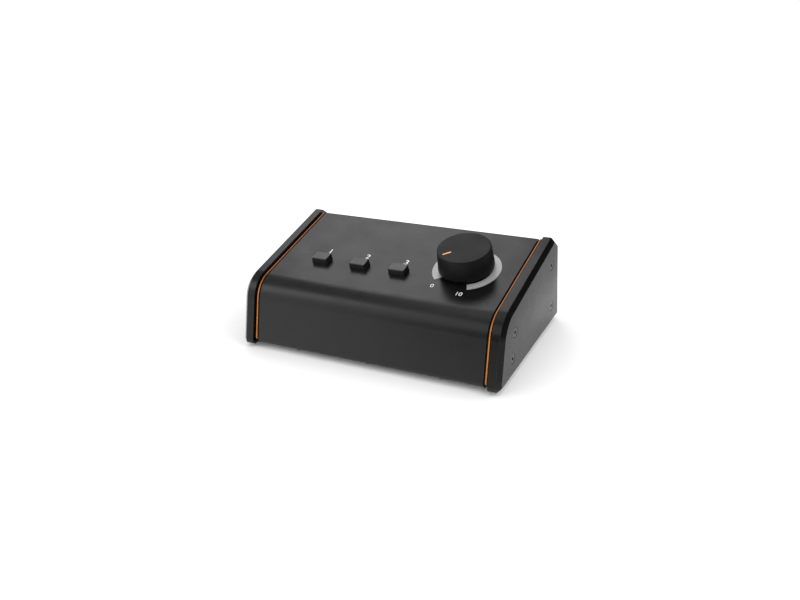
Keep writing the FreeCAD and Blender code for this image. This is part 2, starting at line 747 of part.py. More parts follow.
def make_end_bracket():
    """Plate inside the body's end, folded in at the floor, that the cheek screws pull against."""
    body = new_body("right_end_bracket")
    inner_face = f"{BRACKET_OUTER} - bracket_thickness"
    plate = side_plate(body, PLUG_INSET, PLUG_REAR_INSET, FLOOR_TOP, inner_face, "bracket_thickness")
    round_edges(body, f"knee_radius - {PLUG_INSET}", at_corner(plate.knee))
    foot = new_sketch(body, "XY_Plane", FLOOR_TOP)
    middle = (BRACKET_SCREW_X, f"({BRACKET_FOOT_FRONT} + {BRACKET_FOOT_REAR}) / 2")
    draw_rectangle(foot, "bracket_foot_width", f"{BRACKET_FOOT_REAR} - {BRACKET_FOOT_FRONT}", middle)
    pad(body, foot, "bracket_thickness")
    foot_holes = new_sketch(body, "XY_Plane", f"{FLOOR_TOP} + bracket_thickness")
    for y in BRACKET_SCREW_YS:
        draw_circle(foot_holes, "screw_hole_radius", (BRACKET_SCREW_X, y))
    cut(body, foot_holes, "2 * bracket_thickness")
    holes = new_sketch(body, "YZ_Plane", BRACKET_OUTER)
    for spot in CHEEK_SCREW_SPOTS:
        draw_circle(holes, "screw_hole_radius", spot)
    cut(body, holes, "2 * bracket_thickness")
    return keep(lift(body))


def make_feet():
    """Round rubber feet under the floor."""
    body = new_body("foot")
    height = f"foot_lift + {FLOOR_BOTTOM}"
    turn(body, (("0", "0"), ("foot_radius - foot_taper", "0"), ("foot_radius", height), ("0", height)))
    round_edges(body, "foot_taper / 2", flat_at("0"))
    x = number("case_width / 2 - foot_edge")
    ys = [number(y) for y in ("-case_depth / 2 + foot_front_edge", "case_depth / 2 - foot_rear_edge")]
    places = [FreeCAD.Placement(Vector(side * x, y, 0), FreeCAD.Rotation()) for side in (-1, 1) for y in ys]
    return group("rubber_feet", body, places)


def make_fasteners():
    """Every screw and press nut of the case and the boards, one piece for each kind."""
    down = -Z_AXIS
    back = Y_AXIS
    cheek_places = []
    nut_places = []
    case_places = []
    for side in (-1, 1):
        outward = X_AXIS * side
        for y, z in CHEEK_SCREW_SPOTS:
            cheek_places.append(facing(f"{side} * (case_width / 2 - cheek_screw_recess)", y, z, outward))
            nut_places.append(facing(f"{side} * ({BRACKET_OUTER} - bracket_thickness)", y, z, -outward))
        for y in BRACKET_SCREW_YS:
            x = f"{side} * {BRACKET_SCREW_X}"
            case_places.append(facing(x, y, f"{FLOOR_BOTTOM} - pan_screw_head_height", down))
            nut_places.append(facing(x, y, f"{FLOOR_TOP} + bracket_thickness", -down))
    for x, y in FLANGE_SCREW_SPOTS:
        case_places.append(facing(x, y, "shell_bottom_gap - pan_screw_head_height", down))
        nut_places.append(facing(x, y, FLOOR_TOP, -down))
    for x in LIP_SCREW_XS:
        case_places.append(facing(x, f"{SHELL_OUTER.rear[0]} + pan_screw_head_height", LIP_SCREW_Z, back))
        nut_places.append(facing(x, REAR_PANEL_Y, LIP_SCREW_Z, -back))
    head = f"{BOARD_TOP} - board_thickness - pan_screw_head_height"
    board_places = [panel_place(x, up, head, upside_down=True) for x, up in BOARD_SCREW_SPOTS]
    for x, y in CONNECTOR_SCREW_SPOTS:
        board_places.append(facing(x, y, f"{CONNECTOR_BOARD_TOP} + pan_screw_head_height", Z_AXIS))
    group("cheek_screws", make_countersunk_screw(), cheek_places)
    group("case_screws", make_pan_screw("case_screw", "case_screw_length"), case_places)
    group("board_screws", make_pan_screw("board_screw", "board_screw_length"), board_places)
    group("press_nuts", make_ring("press_nut", "thread_radius", "nut_radius", "nut_height"), nut_places)


# Volume control

def make_knob():
    body = new_body("volume_knob")
    top = "(knob_gap + knob_height)"
    cavity_top = f"({top} - knob_crown)"
    hub_bottom = "(bushing_out + hub_gap)"
    turn(body, (("0", top), ("knob_top_radius", top), ("knob_radius", "knob_gap"),
                ("knob_radius - knob_wall", "knob_gap"), ("knob_radius - knob_wall", cavity_top),
                ("hub_radius", cavity_top), ("hub_radius", hub_bottom), ("0", hub_bottom)))
    round_edges(body, "knob_edge_radius", flat_at(top))
    depth = f"shaft_top + 2 * fit_gap - {hub_bottom}"
    bore = new_sketch(body, "XY_Plane", hub_bottom)
    draw_circle(bore, "shaft_radius + shaft_press_gap")
    cut(body, bore, depth, backwards=True)
    flat = new_sketch(body, "XY_Plane", hub_bottom)
    draw_flat(flat, "shaft_press_gap")
    pad(body, flat, depth)
    slot = new_sketch(body, "XY_Plane", top)
    draw_pointer(slot, "plunger_fit")
    cut(body, slot, "pointer_depth")
    return keep(stand_on_panel(body, KNOB_ACROSS, "knob_up"))


def draw_flat(sketch, gap):
    """The strip between the shaft's flat and the far side of its round, and a little past it."""
    near = f"(shaft_flat + {gap})"
    far = "(shaft_radius + 5 * fit_gap)"
    draw_rectangle(sketch, f"2 * {far}", f"{far} - {near}", ("0", f"({far} + {near}) / 2"))


def draw_pointer(sketch, gap):
    """The pointer's outline on the knob's top, grown by gap."""
    corners = []
    for reach, side in (("pointer_start - {0}", -1), ("pointer_end + {0}", -1),
                        ("pointer_end + {0}", 1), ("pointer_start - {0}", 1)):
        along = f"({reach.format(gap)})"
        across = f"({side} * (pointer_width / 2 + {gap}))"
        corners.append((f"{along} * cos(pointer_angle) - {across} * sin(pointer_angle)",
                        f"{along} * sin(pointer_angle) + {across} * cos(pointer_angle)"))
    draw(sketch, corners)


def make_pointer():
    body = new_body("knob_pointer")
    top = "(knob_gap + knob_height + pointer_proud)"
    sketch = new_sketch(body, "XY_Plane", top)
    draw_pointer(sketch, "0")
    pad(body, sketch, "pointer_depth + pointer_proud - fit_gap / 2", backwards=True)
    return keep(stand_on_panel(body, KNOB_ACROSS, "knob_up"))


def make_volume_arc():
    """Thin plate round the knob, open where the knob's travel is."""
    body = new_body("volume_arc")
    section = (("arc_inner_radius", "0"), ("arc_outer_radius", "0"),
               ("arc_outer_radius", "arc_thickness"), ("arc_inner_radius", "arc_thickness"))
    sketch = turn(body, section, sweep="knob_travel_angle")
    sketch.AttachmentOffset = FreeCAD.Placement(Vector(), FreeCAD.Rotation(Y_AXIS, 1))
    bind(sketch, "AttachmentOffset.Rotation.Angle", "pointer_angle - knob_travel_angle")
    doc.recompute()
    return keep(stand_on_panel(body, KNOB_ACROSS, "knob_up"))


def make_potentiometer():
    """Housing with its bushing, wafer, shaft with two wipers, washer and nut."""
    wafer_top = f"({BOARD_TOP} + wafer_thickness)"
    housing = new_body("pot_housing")
    block = new_sketch(housing, "XY_Plane", wafer_top)
    draw_rectangle(block, "pot_width", "pot_width")
    pad(housing, block, "board_drop - wafer_thickness")
    bushing = new_sketch(housing, "XY_Plane", "-sheet_thickness")
    draw_circle(bushing, "bushing_radius")
    pad(housing, bushing, "sheet_thickness + bushing_out")
    cavity = new_sketch(housing, "XY_Plane", wafer_top)
    draw_circle(cavity, "pot_cavity_radius")
    cut(housing, cavity, "board_drop - wafer_thickness - pot_crown", backwards=True)
    bore = new_sketch(housing, "XY_Plane", "bushing_out")
    draw_circle(bore, "shaft_radius + shaft_running_gap")
    cut(housing, bore, "bushing_out + sheet_thickness + 2 * pot_crown")
    keep(stand_on_panel(housing, KNOB_ACROSS, "knob_up"))

    wafer = new_body("pot_wafer")
    plate = new_sketch(wafer, "XY_Plane", BOARD_TOP)
    draw_rectangle(plate, "pot_width", "pot_width")
    pad(wafer, plate, "wafer_thickness")
    keep(stand_on_panel(wafer, KNOB_ACROSS, "knob_up"))

    shaft = new_body("pot_shaft")
    low = f"({wafer_top} + 5 * fit_gap)"
    high = f"({low} + wiper_spacing)"
    turn(shaft, (("0", low), ("wiper_radius", low),
                 ("wiper_radius", f"{low} + wiper_thickness"), ("shaft_radius", f"{low} + wiper_thickness"),
                 ("shaft_radius", high), ("wiper_radius", high),
                 ("wiper_radius", f"{high} + wiper_thickness"), ("shaft_radius", f"{high} + wiper_thickness"),
                 ("shaft_radius", "shaft_top"), ("0", "shaft_top")))
    flat = new_sketch(shaft, "XY_Plane", "shaft_top")
    draw_flat(flat, "0")
    cut(shaft, flat, "shaft_top - bushing_out - hub_gap / 2")
    keep(stand_on_panel(shaft, KNOB_ACROSS, "knob_up"))

    washer = make_ring("pot_washer", "bushing_radius + plunger_fit", "washer_radius", "washer_thickness")
    keep(stand_on_panel(washer, KNOB_ACROSS, "knob_up"))
    nut = make_hex_ring("pot_nut", "bushing_radius + plunger_fit", "pot_nut_width", "pot_nut_height")
    keep(stand_on_panel(nut, KNOB_ACROSS, "knob_up", "washer_thickness"))


# Buttons

def make_button(name, across):
    """Cap, plunger and switch housing of one button."""
    flange_top = "(-sheet_thickness - cap_flange_gap)"
    flange_bottom = f"({flange_top} - cap_flange)"
    cap = new_body(f"{name}_button_cap")
    block = new_sketch(cap, "XY_Plane", flange_bottom)
    draw_rectangle(block, "cap_width", "cap_depth")
    pad(cap, block, f"cap_height - {flange_bottom}")
    round_edges(cap, "cap_corner_radius", upright)
    round_edges(cap, "cap_edge_radius", flat_at("cap_height"))
    flange = new_sketch(cap, "XY_Plane", flange_bottom)
    draw_rectangle(flange, "cap_width + 2 * cap_flange", "cap_depth + 2 * cap_flange")
    pad(cap, flange, "cap_flange")
    socket = new_sketch(cap, "XY_Plane", flange_bottom)
    draw_rectangle(socket, *("plunger_width + 2 * plunger_fit",) * 2)
    cut(cap, socket, f"cap_socket_top - {flange_bottom}", backwards=True)
    keep(stand_on_panel(cap, across, "button_row"))

    pressed_floor = f"({BOARD_TOP} + switch_floor + plunger_gap)"
    plunger = doc.addObject("Part::Box", f"{name}_switch_plunger")
    plunger.Label = f"{name}_switch_plunger"
    bind(plunger, "Length", "plunger_width")
    bind(plunger, "Width", "plunger_width")
    bind(plunger, "Height", f"cap_socket_top - plunger_fit - {pressed_floor} - button_travel")
    keep(stand_on_panel(plunger, f"{across} - plunger_width / 2", "button_row - plunger_width / 2",
                        f"{pressed_floor} + button_travel"))

    housing = new_body(f"{name}_switch_housing")
    height = f"({flange_bottom} - button_travel - plunger_gap - {BOARD_TOP})"
    case = new_sketch(housing, "XY_Plane", BOARD_TOP)
    draw_rectangle(case, "switch_width", "switch_width")
    pad(housing, case, height)
    well = new_sketch(housing, "XY_Plane", f"{BOARD_TOP} + {height}")
    draw_rectangle(well, *("plunger_width + 2 * plunger_gap",) * 2)
    cut(housing, well, f"{height} - switch_floor")
    keep(stand_on_panel(housing, across, "button_row"))


# Boards

def make_main_board():
    """Board that hangs parallel to the top, on standoffs pressed into it."""
    body = new_body("main_board")
    sketch = new_sketch(body, "XY_Plane", BOARD_TOP)
    middle = ("0", f"(board_front + {BOARD_REAR}) / 2")
    draw_rectangle(sketch, f"2 * {BOARD_HALF}", f"{BOARD_REAR} - board_front", middle)
    for spot in BOARD_SCREW_SPOTS:
        draw_circle(sketch, "screw_hole_radius", spot)
    pad(body, sketch, "board_thickness", backwards=True)
    keep(stand_on_panel(body))
    standoff = make_hex_ring("tall_standoff", "thread_radius", "standoff_width", "board_drop",
                             "standoff_thread_depth")
    group("board_standoffs", standoff, [panel_place(x, up, BOARD_TOP) for x, up in BOARD_SCREW_SPOTS])


def make_resistors():
    """Small axial resistors that make up the level steps, lying across the main board."""
    body = new_body("resistor")
    height = "(resistor_radius + resistor_lift)"
    reach = "(resistor_span / 2)"
    leg = f"({reach} - 2 * resistor_lead_radius)"
    over = f"({height} + resistor_lead_radius)"
    under = f"({height} - resistor_lead_radius)"
    wire = new_sketch(body, "YZ_Plane")
    draw(wire, ((f"-{reach}", "0"), (f"-{reach}", over), (reach, over), (reach, "0"),
                (leg, "0"), (leg, under), (f"-{leg}", under), (f"-{leg}", "0")))
    pad(body, wire, "2 * resistor_lead_radius", both_ways=True)
    barrel = new_sketch(body, "XZ_Plane")
    draw_circle(barrel, "resistor_radius", ("0", height))
    pad(body, barrel, "resistor_length", both_ways=True)
    count = int(number("resistor_count"))
    rows = [f"{place - (count - 1) / 2} * resistor_pitch - button_pitch / 2" for place in range(count)]
    up = f"{BOARD_REAR} - resistor_board_edge"
    group("pad_resistors", body, [panel_place(across, up, BOARD_TOP) for across in rows])


def make_connector_board():
    """Level board behind the rear panel, on short standoffs pressed into the floor."""
    body = new_body("connector_board")
    sketch = new_sketch(body, "XY_Plane", CONNECTOR_BOARD_TOP)
    middle = ("0", f"({CONNECTOR_BOARD_REAR} - connector_board_depth / 2)")
    draw_rectangle(sketch, f"2 * {CONNECTOR_BOARD_HALF}", "connector_board_depth", middle)
    for spot in CONNECTOR_SCREW_SPOTS:
        draw_circle(sketch, "screw_hole_radius", spot)
    pad(body, sketch, "board_thickness", backwards=True)
    keep(lift(body))
    standoff = make_hex_ring("short_standoff", "thread_radius", "standoff_width", "connector_board_lift")
    group("connector_standoffs", standoff, [facing(x, y, FLOOR_TOP, Z_AXIS) for x, y in CONNECTOR_SCREW_SPOTS])


def make_jack(label, x, width, depth, bore_radius, nose_radius):
    """Socket on the connector board, with its nose through the rear panel and a blind bore."""
    body = new_body(label)
    block = new_sketch(body, "XZ_Plane")
    draw_rectangle(block, width, "2 * jack_axis_height")
    pad(body, block, depth)
    nose = new_sketch(body, "XZ_Plane")
    draw_circle(nose, nose_radius)
    pad(body, nose, "sheet_thickness + jack_nose_out", backwards=True)
    bore = new_sketch(body, "XZ_Plane", "-(sheet_thickness + jack_nose_out)")
    draw_circle(bore, bore_radius)
    cut(body, bore, f"sheet_thickness + jack_nose_out + {depth} - jack_bore_floor", backwards=True)
    bind(body, "Placement.Base.x", x)
    bind(body, "Placement.Base.y", REAR_PANEL_Y)
    bind(body, "Placement.Base.z", f"foot_lift + {JACK_Z}")
    return keep(body)


def make_jacks():
    for label, x in JACK_XS.items():
        make_jack(label, x, "jack_width", "jack_depth", "jack_bore_radius", "jack_nose_radius")
    make_jack("aux_jack", "0", "aux_width", "aux_depth", "aux_bore_radius", "aux_nose_radius")
    outside = f"{REAR_PANEL_Y} + sheet_thickness"
    nut = make_hex_ring("jack_nut", "jack_nose_radius + plunger_fit", "jack_nut_width", "jack_nut_height")
    group("jack_nuts", nut, [facing(x, outside, JACK_Z, Y_AXIS) for x in JACK_XS.values()])
    small_nut = make_hex_ring("small_jack_nut", "aux_nose_radius + plunger_fit", "aux_nut_width",
                              "jack_nut_height")
    group("aux_nut", small_nut, [facing("0", outside, JACK_Z, Y_AXIS)])


def make_ribbon():
    """Flat cable between the two boards, held in a socket at each end."""
    lower_y = f"({CONNECTOR_BOARD_REAR} - connector_board_depth + lower_socket_depth)"
    upper_up = f"(({lower_y} - {PANEL_Y}) / cos(slope_angle) - socket_step)"
    lower = doc.addObject("Part::Box", "lower_socket")
    upper = doc.addObject("Part::Box", "upper_socket")
    for socket in (lower, upper):
        bind(socket, "Length", "socket_width")
        bind(socket, "Width", "socket_depth")
        bind(socket, "Height", "socket_height")
    bind(lower, "Placement.Base.x", "-socket_width / 2")
    bind(lower, "Placement.Base.y", f"{lower_y} - socket_depth / 2")
    bind(lower, "Placement.Base.z", f"foot_lift + {CONNECTOR_BOARD_TOP}")
    stand_on_panel(upper, "-socket_width / 2", f"{upper_up} - socket_depth / 2",
                   f"{BOARD_TOP} - board_thickness - socket_height")
    sockets = doc.addObject("Part::Compound", "ribbon_sockets")
    sockets.Label = "ribbon_sockets"
    sockets.Links = [lower, upper]
    doc.recompute()
    keep(sockets)

    low_end = Vector(0, number(f"{lower_y} - socket_depth / 2"),
                     number(f"foot_lift + {CONNECTOR_BOARD_TOP} + socket_height / 2"))
    high_place = panel_place("0", f"{upper_up} + socket_depth / 2",
                             f"{BOARD_TOP} - board_thickness - socket_height / 2")
    high_end = high_place.Base
    run = number("ribbon_run")
    high_turn = high_end + high_place.Rotation.multVec(Y_AXIS) * run
    low_turn = low_end - Y_AXIS * run
    ribbon = doc.addObject("Part::Feature", "ribbon_cable")
    ribbon.Label = "ribbon_cable"
    ribbon.Shape = bent_band((low_end, low_turn, high_turn, high_end), number("ribbon_thickness"),
                             number("ribbon_width"), number("ribbon_bend_radius"))
    keep(ribbon)


def bent_band(route, thickness, width, bend_radius):
    """A band of the given thickness along a route in the side view, with rounded bends."""
    def corner(point, before, after, offset):
        """The band's corner on one side of a route point, mitred between its two runs."""
        runs = [run.normalize() for run in (before, after) if run.Length > NEAR]
        normals = [Vector(0, -run.z, run.y) for run in runs]
        total = normals[0] + normals[-1]
        return point + total * (2 * offset / total.Length ** 2)

    sides = []
    for offset in (thickness / 2, -thickness / 2):
        line = []
        for index, point in enumerate(route):
            before = point - route[max(index - 1, 0)]
            after = route[min(index + 1, len(route) - 1)] - point
            line.append(corner(point, before, after, offset))
        sides.append(line)
    loop = sides[0] + sides[1][::-1]
    face = Part.Face(Part.makePolygon(loop + loop[:1]))
    band = face.extrude(X_AXIS * width)
    band.translate(X_AXIS * (-width / 2))

    def edges_at(points):
        return [edge for edge in band.Edges
                if any((edge.CenterOfMass - point).Length < NEAR for point in points)]
    bends = range(1, len(route) - 1)
    for index in bends:
        first = route[index] - route[index - 1]
        second = route[index + 1] - route[index]
        left_turn = first.cross(second).x > 0
        inside, outside = (sides[0], sides[1]) if left_turn else (sides[1], sides[0])
        band = band.makeFillet(bend_radius, edges_at([inside[index]]))
        band = band.makeFillet(bend_radius + thickness, edges_at([outside[index]]))
    return band


def write_pieces():
    """Checks every object and writes each piece to a file of its own."""
    doc.recompute()
    for thing in doc.Objects:
        if "Invalid" in thing.State or "Error" in thing.State:
            raise RuntimeError(f"{thing.Label} failed: {thing.State}")
    labels = [piece.Label for piece in pieces]
    if len(set(labels)) != len(labels):
        raise RuntimeError("two pieces share a name")
    for piece in pieces:
        shape = piece.Shape
        if shape.isNull() or not shape.isValid() or not shape.Solids or shape.Volume <= 0:
            raise RuntimeError(f"{piece.Label} has no sound shape")
    os.makedirs("parts", exist_ok=True)
    for piece in pieces:
        piece.Shape.exportStep(f"parts/{piece.Label}.step")
        print(f"{piece.Label}: {len(piece.Shape.Solids)} solids, {piece.Shape.Volume:.1f} mm3")


make_top_shell()
make_base_pan()
right_pieces = {
    "left_cheek": make_cheek(),
    "left_spacer": make_spacer(),
    "left_accent_strip": make_accent_strip(),
    "left_end_bracket": make_end_bracket(),
}
for left_label, right_piece in right_pieces.items():
    mirrored(left_label, right_piece)
make_feet()
make_fasteners()
make_knob()
make_pointer()
make_volume_arc()
make_potentiometer()
for button_name, button_across in BUTTONS.items():
    make_button(button_name, button_across)
make_main_board()
make_resistors()
make_connector_board()
make_jacks()
make_ribbon()
write_pieces()
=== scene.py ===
import logging
import math
from collections.abc import Callable
from dataclasses import dataclass, field
from enum import Enum

import bpy
from mathutils import Matrix, Vector


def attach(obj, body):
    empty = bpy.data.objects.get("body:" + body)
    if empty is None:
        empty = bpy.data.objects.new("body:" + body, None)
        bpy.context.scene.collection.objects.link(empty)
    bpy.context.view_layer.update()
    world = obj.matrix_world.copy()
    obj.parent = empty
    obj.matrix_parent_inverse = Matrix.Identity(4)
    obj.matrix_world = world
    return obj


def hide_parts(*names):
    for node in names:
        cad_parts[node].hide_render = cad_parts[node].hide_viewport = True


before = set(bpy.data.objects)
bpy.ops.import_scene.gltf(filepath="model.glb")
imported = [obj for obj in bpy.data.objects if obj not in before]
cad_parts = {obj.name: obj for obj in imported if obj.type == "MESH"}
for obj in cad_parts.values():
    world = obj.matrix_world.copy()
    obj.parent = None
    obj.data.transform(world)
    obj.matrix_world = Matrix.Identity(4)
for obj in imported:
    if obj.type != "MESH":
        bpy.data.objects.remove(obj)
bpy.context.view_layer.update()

LOG = logging.getLogger("monitor_controller")
MM = 0.001

# The sloping top: where the virtual knee lies, and how far the top rises to the back.
PANEL_ORIGIN = Vector((0.0, -36.372, 37.195)) * MM
PANEL_SLOPE = math.radians(10.7)
KNOB_ACROSS = 41.8 * MM
KNOB_UP = 40.3 * MM
REAR_FACE_Y = 43.825 * MM
JACKS_X = (-46.0 * MM, -16.5 * MM, 16.5 * MM, 46.0 * MM)
AUX_X = 0.0

# Printing: half the ink's thickness, and how tall the font's digits are for their size.
HALF_INK = 0.02 * MM
DIGIT_SHARE = 0.7

# Where a noise's middle tones begin and end.
NOISE_SPREAD = {"From Min": 0.3, "From Max": 0.7}
SMEAR_SIZE = 14.0 * MM
# Wear and painted edge highlight: how far the normals part on a flat and at a lightened edge, and the
# patches it comes in.
EDGE_SPREAD = {"From Min": 0.995, "From Max": 0.93}
EDGE_PATCH_SPREAD = {"From Min": 0.42, "From Max": 0.68}
EDGE_PATCH_SIZE = 4.0 * MM
BRUSH_STRETCH = (0.04, 1.0, 1.0)
COAT_ROUGHNESS = 0.2
GLOW_DEPTHS = (1.2 * MM, 0.6 * MM, 0.3 * MM)
# Stripes that the wave texture draws in one metre at a scale of one.
STRIPES_PER_SCALE = 10 / math.pi


def linear(colour: str) -> tuple[float, float, float, float]:
    """Turn an sRGB hex colour into linear values.

    Args:
        colour: six hex digits, such as "c8863c".

    Returns:
        Linear red, green and blue with an alpha of one.
    """
    channels = [int(colour[start:start + 2], 16) / 255 for start in (0, 2, 4)]
    values = [c / 12.92 if c <= 0.04045 else ((c + 0.055) / 1.055) ** 2.4 for c in channels]
    return values[0], values[1], values[2], 1.0


def add_node(tree: bpy.types.NodeTree, kind: str, settings: dict | None = None,
             links: dict | None = None) -> bpy.types.Node:
    """Add one shader node.

    Args:
        tree: the node tree that gets it.
        kind: the node's Blender type.
        settings: values by input name or number, or by the node's own property.
        links: outputs of other nodes by the input name or number they feed.

    Returns:
        The new node.
    """
    node = tree.nodes.new(kind)
    for key, value in (settings or {}).items():
        if isinstance(key, str) and hasattr(node, key):
            setattr(node, key, value)
        else:
            node.inputs[key].default_value = value
    for key, output in (links or {}).items():
        tree.links.new(output, node.inputs[key])
    return node


class Grain(Enum):
    """How a surface was made, which decides its fine relief."""

    SMOOTH = "smooth"
    ORANGE_PEEL = "orange peel of a sprayed coat"
    SPARK_TEXTURE = "fine sand texture of a moulding tool"
    BRUSHED = "long scratches of a brush"


@dataclass(frozen=True)
class Finish:
    """A real surface: its colour, gloss, relief and wear, and a painted highlight on its edges.

    The grain sizes are in millimetres. A grain under about half a millimetre would not
    show at the size of the render, so such grains are drawn about twice as coarse.
    """

    name: str
    colour: str
    second_colour: str
    roughness: float
    roughness_spread: float = 0.06
    metallic: float = 0.0
    specular: float = 0.5
    mottle_mm: float = 9.0
    grain: Grain = Grain.SMOOTH
    grain_mm: float = 0.6
    grain_depth_mm: float = 0.01
    # Lighter edge colour: wear and a painted highlight on the edges.
    worn_colour: str = ""
    edge_mm: float = 0.3
    coat: float = 0.0
    sheen: float = 0.0
    subsurface: float = 0.0

    def two_tones(self, tree: bpy.types.NodeTree, amount: bpy.types.NodeSocket) -> bpy.types.NodeSocket:
        """Mix the finish's two colours.

        Args:
            tree: the material's nodes.
            amount: nought for the first colour, one for the second.

        Returns:
            The colour output.
        """
        tones = add_node(tree, "ShaderNodeMix",
                         {"data_type": "RGBA", 6: linear(self.colour), 7: linear(self.second_colour)},
                         {0: amount})
        return tones.outputs[2]

    def colour_socket(self, tree: bpy.types.NodeTree,
                      place: bpy.types.NodeSocket) -> bpy.types.NodeSocket:
        """Mottle the base colour between two near tones.

        Args:
            tree: the material's nodes.
            place: object coordinates.

        Returns:
            The colour output.
        """
        cloud = add_node(tree, "ShaderNodeTexNoise",
                         {"Scale": 1 / (self.mottle_mm * MM), "Detail": 4.0, "Roughness": 0.6},
                         {"Vector": place})
        ramp = add_node(tree, "ShaderNodeMapRange", NOISE_SPREAD, {"Value": cloud.outputs["Fac"]})
        return self.two_tones(tree, ramp.outputs["Result"])

    def worn(self, tree: bpy.types.NodeTree, place: bpy.types.NodeSocket,
             colour: bpy.types.NodeSocket) -> bpy.types.NodeSocket:
        """Lighten the edges in patches: partly wear of the coat, partly a painted highlight on the edges.

        Args:
            tree: the material's nodes.
            place: object coordinates.
            colour: the colour before the wear and painted edge highlight.

        Returns:
            The colour output with lightened edges, worn and with a painted highlight.
        """
        if not self.worn_colour:
            return colour
        # Edge mask for the lighter colour: partly wear, partly a painted highlight.
        rounded = add_node(tree, "ShaderNodeBevel", {"samples": 4, "Radius": self.edge_mm * MM})
        flat = add_node(tree, "ShaderNodeNewGeometry")
        bend = add_node(tree, "ShaderNodeVectorMath", {"operation": "DOT_PRODUCT"},
                        {0: rounded.outputs["Normal"], 1: flat.outputs["Normal"]})
        edge = add_node(tree, "ShaderNodeMapRange", EDGE_SPREAD, {"Value": bend.outputs["Value"]})
        edge_patches = add_node(tree, "ShaderNodeTexNoise", {"Scale": 1 / EDGE_PATCH_SIZE, "Detail": 6.0},
                        {"Vector": place})
        patchy = add_node(tree, "ShaderNodeMapRange", EDGE_PATCH_SPREAD, {"Value": edge_patches.outputs["Fac"]})
        amount = add_node(tree, "ShaderNodeMath", {"operation": "MULTIPLY"},
                          {0: edge.outputs["Result"], 1: patchy.outputs["Result"]})
        mixed = add_node(tree, "ShaderNodeMix", {"data_type": "RGBA", 7: linear(self.worn_colour)},
                         {0: amount.outputs[0], 6: colour})
        return mixed.outputs[2]

    def relief(self, tree: bpy.types.NodeTree,
               place: bpy.types.NodeSocket) -> bpy.types.NodeSocket | None:
        """Bump the surface with its grain.

        Args:
            tree: the material's nodes.
            place: object coordinates.

        Returns:
            The bumped normal, or nothing on a smooth surface.
        """
        if self.grain is Grain.SMOOTH:
            return None
        vector = place
        if self.grain is Grain.BRUSHED:
            stretched = add_node(tree, "ShaderNodeMapping", {"Scale": BRUSH_STRETCH}, {"Vector": place})
            vector = stretched.outputs["Vector"]
        detail = {Grain.ORANGE_PEEL: 1.0, Grain.SPARK_TEXTURE: 5.0, Grain.BRUSHED: 3.0}[self.grain]
        bumps = add_node(tree, "ShaderNodeTexNoise",
                         {"Scale": 1 / (self.grain_mm * MM), "Detail": detail, "Roughness": 0.55},
                         {"Vector": vector})
        bump = add_node(tree, "ShaderNodeBump", {"Strength": 1.0, "Distance": self.grain_depth_mm * MM},
                        {"Height": bumps.outputs["Fac"]})
        return bump.outputs["Normal"]

    def build(self) -> bpy.types.Material:
        """Make the material.

        Returns:
            The finished material.
        """
        material = bpy.data.materials.new(self.name)
        material.use_nodes = True
        tree = material.node_tree
        shader = tree.nodes["Principled BSDF"]
        place = add_node(tree, "ShaderNodeTexCoord").outputs["Object"]
        colour = self.worn(tree, place, self.colour_socket(tree, place))
        tree.links.new(colour, shader.inputs["Base Color"])
        smears = add_node(tree, "ShaderNodeTexNoise", {"Scale": 1 / SMEAR_SIZE, "Detail": 5.0},
                          {"Vector": place})
        gloss = add_node(tree, "ShaderNodeMapRange",
                         {**NOISE_SPREAD, "To Min": self.roughness - self.roughness_spread,
                          "To Max": self.roughness + self.roughness_spread},
                         {"Value": smears.outputs["Fac"]})
        tree.links.new(gloss.outputs["Result"], shader.inputs["Roughness"])
        normal = self.relief(tree, place)
        if normal is not None:
            tree.links.new(normal, shader.inputs["Normal"])
        shader.inputs["Metallic"].default_value = self.metallic
        shader.inputs["Specular IOR Level"].default_value = self.specular
        shader.inputs["Coat Weight"].default_value = self.coat
        shader.inputs["Coat Roughness"].default_value = COAT_ROUGHNESS
        shader.inputs["Sheen Weight"].default_value = self.sheen
        shader.inputs["Subsurface Weight"].default_value = self.subsurface
        shader.inputs["Subsurface Radius"].default_value = GLOW_DEPTHS
        return material


@dataclass(frozen=True)
class RibbonFinish(Finish):
    """Flat cable: round conductors side by side show as grey ridges, whose light and shade are painted as
    stripes.
    """

    pitch_mm: float = 1.27

    def colour_socket(self, tree: bpy.types.NodeTree,
                      place: bpy.types.NodeSocket) -> bpy.types.NodeSocket:
        """Stripe the grey by the pitch of the conductors: painted light and shade of the ridges.

        Args:
            tree: the material's nodes.
            place: object coordinates.

        Returns:
            The colour output.
        """
        # Painted light and shade of the round conductors.
        stripes = add_node(tree, "ShaderNodeTexWave",
                           {"bands_direction": "X",
                            "Scale": 1 / (self.pitch_mm * MM) / STRIPES_PER_SCALE}, {"Vector": place})
        return self.two_tones(tree, stripes.outputs["Fac"])


@dataclass(frozen=True)
class BoardFinish(Finish):
    """Glass laminate under green solder mask, with lighter runs of copper below it."""

    track_mm: float = 2.5
    track_share: float = 0.06

    def colour_socket(self, tree: bpy.types.NodeTree,
                      place: bpy.types.NodeSocket) -> bpy.types.NodeSocket:
        """Lay copper runs under the mask.

        Args:
            tree: the material's nodes.
            place: object coordinates.

        Returns:
            The colour output.
        """
        tracks = add_node(tree, "ShaderNodeTexBrick",
                          {"Scale": 1 / (self.track_mm * MM), "Mortar Size": self.track_share,
                           "Color1": (0, 0, 0, 1), "Color2": (0.2, 0.2, 0.2, 1),
                           "Mortar": (1, 1, 1, 1)}, {"Vector": place})
        return self.two_tones(tree, tracks.outputs["Color"])


